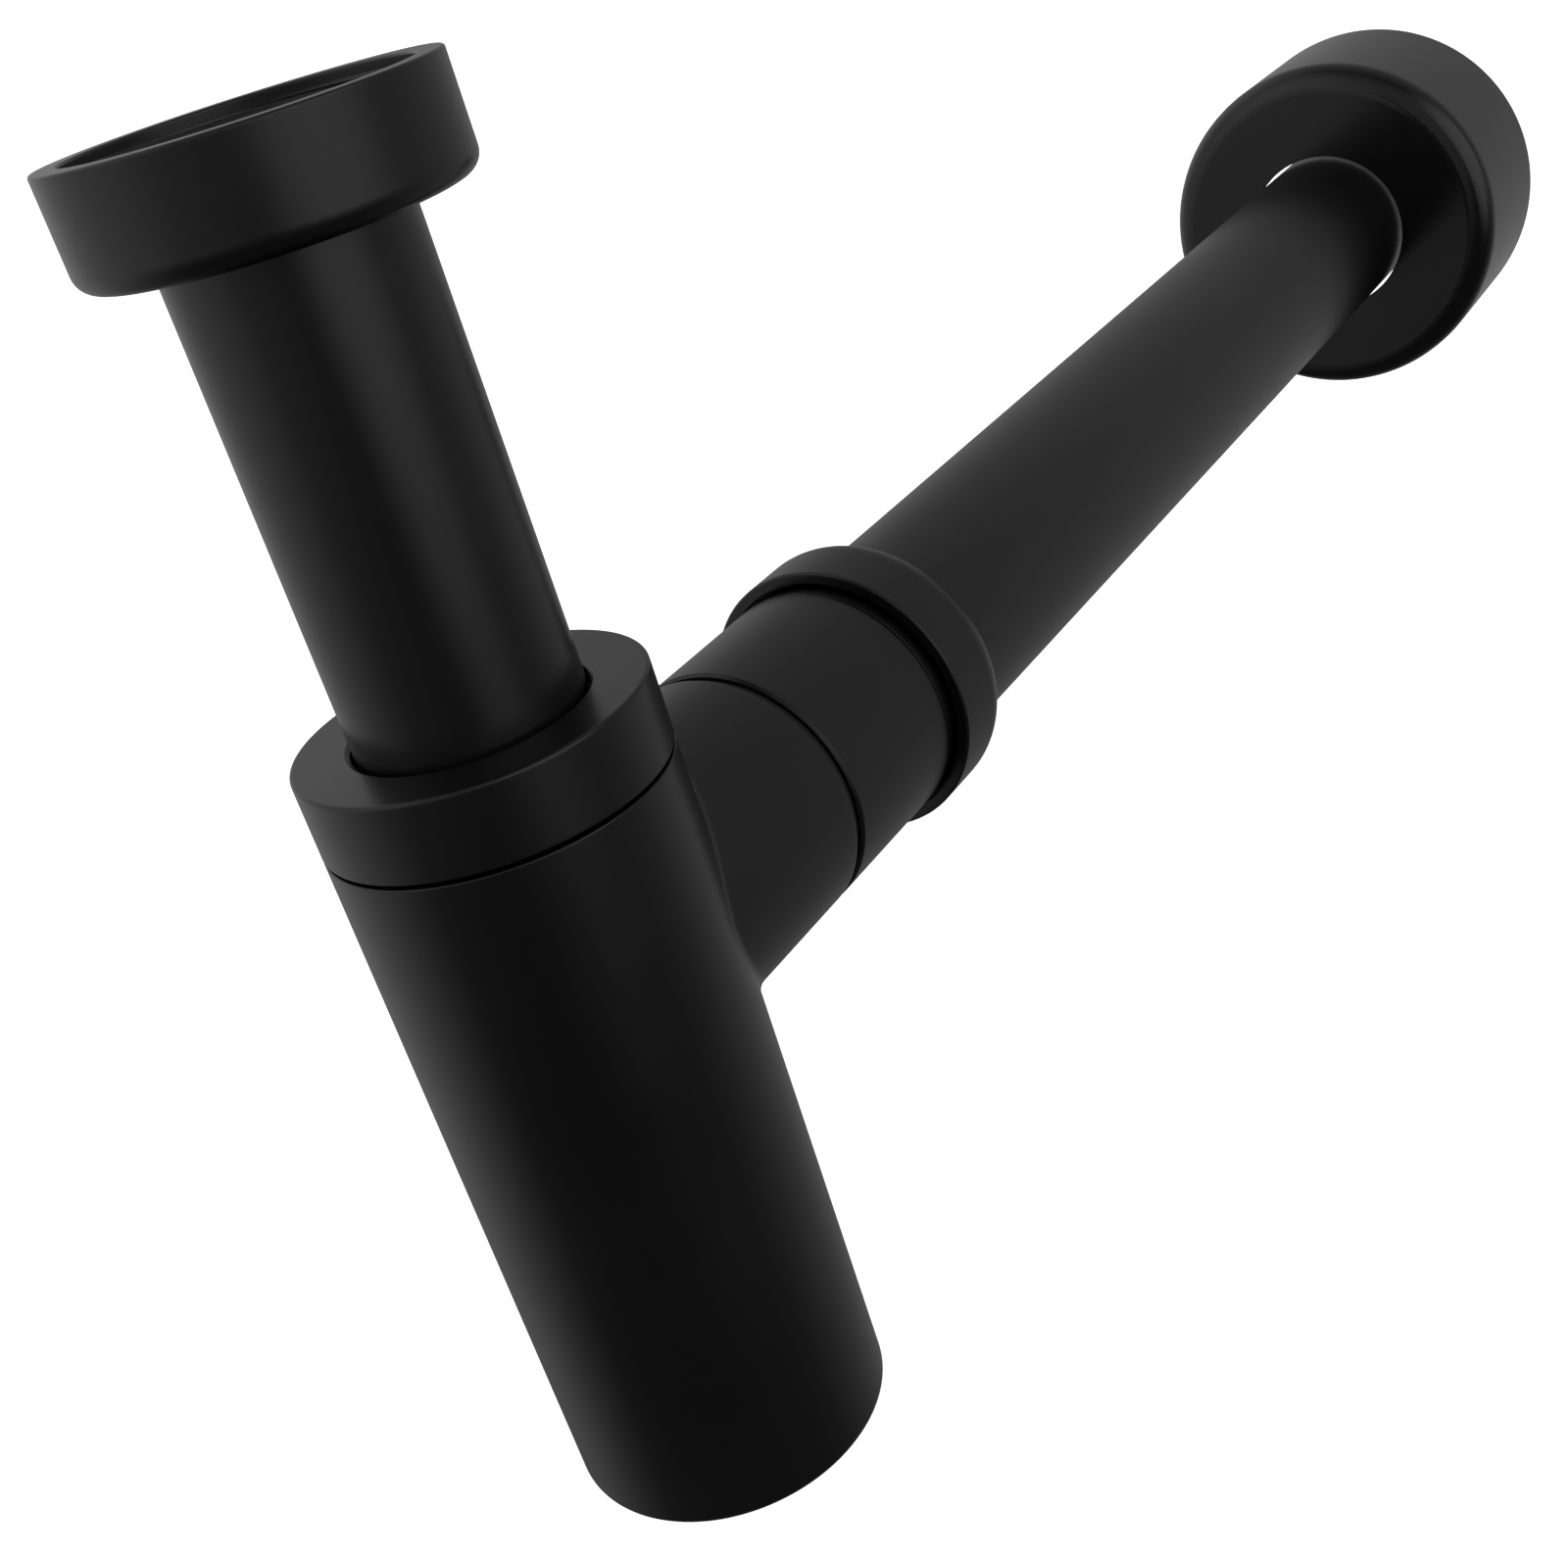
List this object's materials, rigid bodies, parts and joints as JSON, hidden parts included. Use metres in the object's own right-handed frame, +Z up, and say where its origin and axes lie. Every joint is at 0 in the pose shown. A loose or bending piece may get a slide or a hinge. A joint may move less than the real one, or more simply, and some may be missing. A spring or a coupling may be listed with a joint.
{
  "type": "bottle trap",
  "caption": "Matt black washbasin bottle trap: union nut, vertical inlet tube, cylindrical bottle, side outlet with sleeve and nut, outlet tube and deep wall flange.",
  "frame": {"origin": "centre of the inlet sealing face: the top of the rubber washer in the inlet nut, on the inlet axis", "axes": "+Z up along the inlet axis to the basin waste, +Y along the outlet axis to the wall, +X to the side"},
  "size_m": [0.082, 0.3987, 0.202],
  "materials": {
    "satin_black": "satin black coating on brass",
    "gloss_black": "semi-gloss black coating on brass",
    "rubber": "matt black rubber",
    "nylon": "dark grey nylon"
  },
  "bodies": {
    "inlet": {"inlet_tube": "satin_black", "inlet_washer": "rubber"},
    "slip_ring": {"inlet_slip_ring": "nylon"},
    "inlet_nut": {"inlet_nut": "satin_black"},
    "tube_seal": {"cap_seal": "rubber"},
    "bottle": {"bottle_shell": "satin_black", "branch_stub": "satin_black", "neck_ring": "satin_black"},
    "cap_glide": {"cap_friction_ring": "nylon"},
    "cap": {"cap_ring": "satin_black"},
    "gasket": {"branch_gasket": "rubber"},
    "sleeve": {"outlet_sleeve": "satin_black"},
    "outlet_glide": {"outlet_friction_ring": "nylon"},
    "outlet_nut": {"outlet_nut": "satin_black"},
    "outlet_seal": {"outlet_seal": "rubber"},
    "outlet_tube": {"outlet_tube": "satin_black"},
    "flange": {"wall_flange": "gloss_black"}
  },
  "joints": [
    {"name": "inlet_nut_slide", "type": "slide", "parent": "inlet", "child": "slip_ring", "axis": [0, 0, 1], "range_m": [-0.025, 0]},
    {"name": "inlet_nut_spin", "type": "hinge", "parent": "slip_ring", "child": "inlet_nut", "pos_m": [0, 0, 0], "axis": [0, 0, 1], "continuous": true},
    {"name": "height_adjust", "type": "slide", "parent": "inlet", "child": "tube_seal", "axis": [0, 0, 1], "range_m": [-0.025, 0.01]},
    {"name": "bottle_swivel", "type": "hinge", "parent": "tube_seal", "child": "bottle", "pos_m": [0, 0, 0], "axis": [0, 0, 1], "continuous": true},
    {"name": "cap_lift", "type": "slide", "parent": "bottle", "child": "cap_glide", "axis": [0, 0, 1], "range_m": [0, 0.0045]},
    {"name": "cap_turn", "type": "hinge", "parent": "cap_glide", "child": "cap", "pos_m": [0, 0, 0], "axis": [0, 0, 1], "range_deg": [0, 1080]},
    {"name": "sleeve_travel", "type": "slide", "parent": "bottle", "child": "gasket", "axis": [0, 1, 0], "range_m": [0, 0.0045]},
    {"name": "sleeve_turn", "type": "hinge", "parent": "gasket", "child": "sleeve", "pos_m": [0, 0, -0.114], "axis": [0, 1, 0], "range_deg": [0, 1080]},
    {"name": "outlet_nut_travel", "type": "slide", "parent": "sleeve", "child": "outlet_glide", "axis": [0, 1, 0], "range_m": [0, 0.0045]},
    {"name": "outlet_nut_turn", "type": "hinge", "parent": "outlet_glide", "child": "outlet_nut", "pos_m": [0, 0, -0.114], "axis": [0, 1, 0], "range_deg": [0, 1080]},
    {"name": "outlet_tube_turn", "type": "hinge", "parent": "sleeve", "child": "outlet_seal", "pos_m": [0, 0, -0.114], "axis": [0, 1, 0], "continuous": true},
    {"name": "outlet_tube_slide", "type": "slide", "parent": "outlet_seal", "child": "outlet_tube", "axis": [0, 1, 0], "range_m": [-0.008, 0.012]},
    {"name": "flange_slide", "type": "slide", "parent": "outlet_tube", "child": "flange", "axis": [0, 1, 0], "range_m": [-0.22, 0.02]}
  ],
  "couplings": [
    {"joint": "cap_turn", "follows": "cap_lift", "rad_per_m": 4188.8},
    {"joint": "sleeve_turn", "follows": "sleeve_travel", "rad_per_m": 4188.8},
    {"joint": "outlet_nut_turn", "follows": "outlet_nut_travel", "rad_per_m": 4188.8}
  ]
}
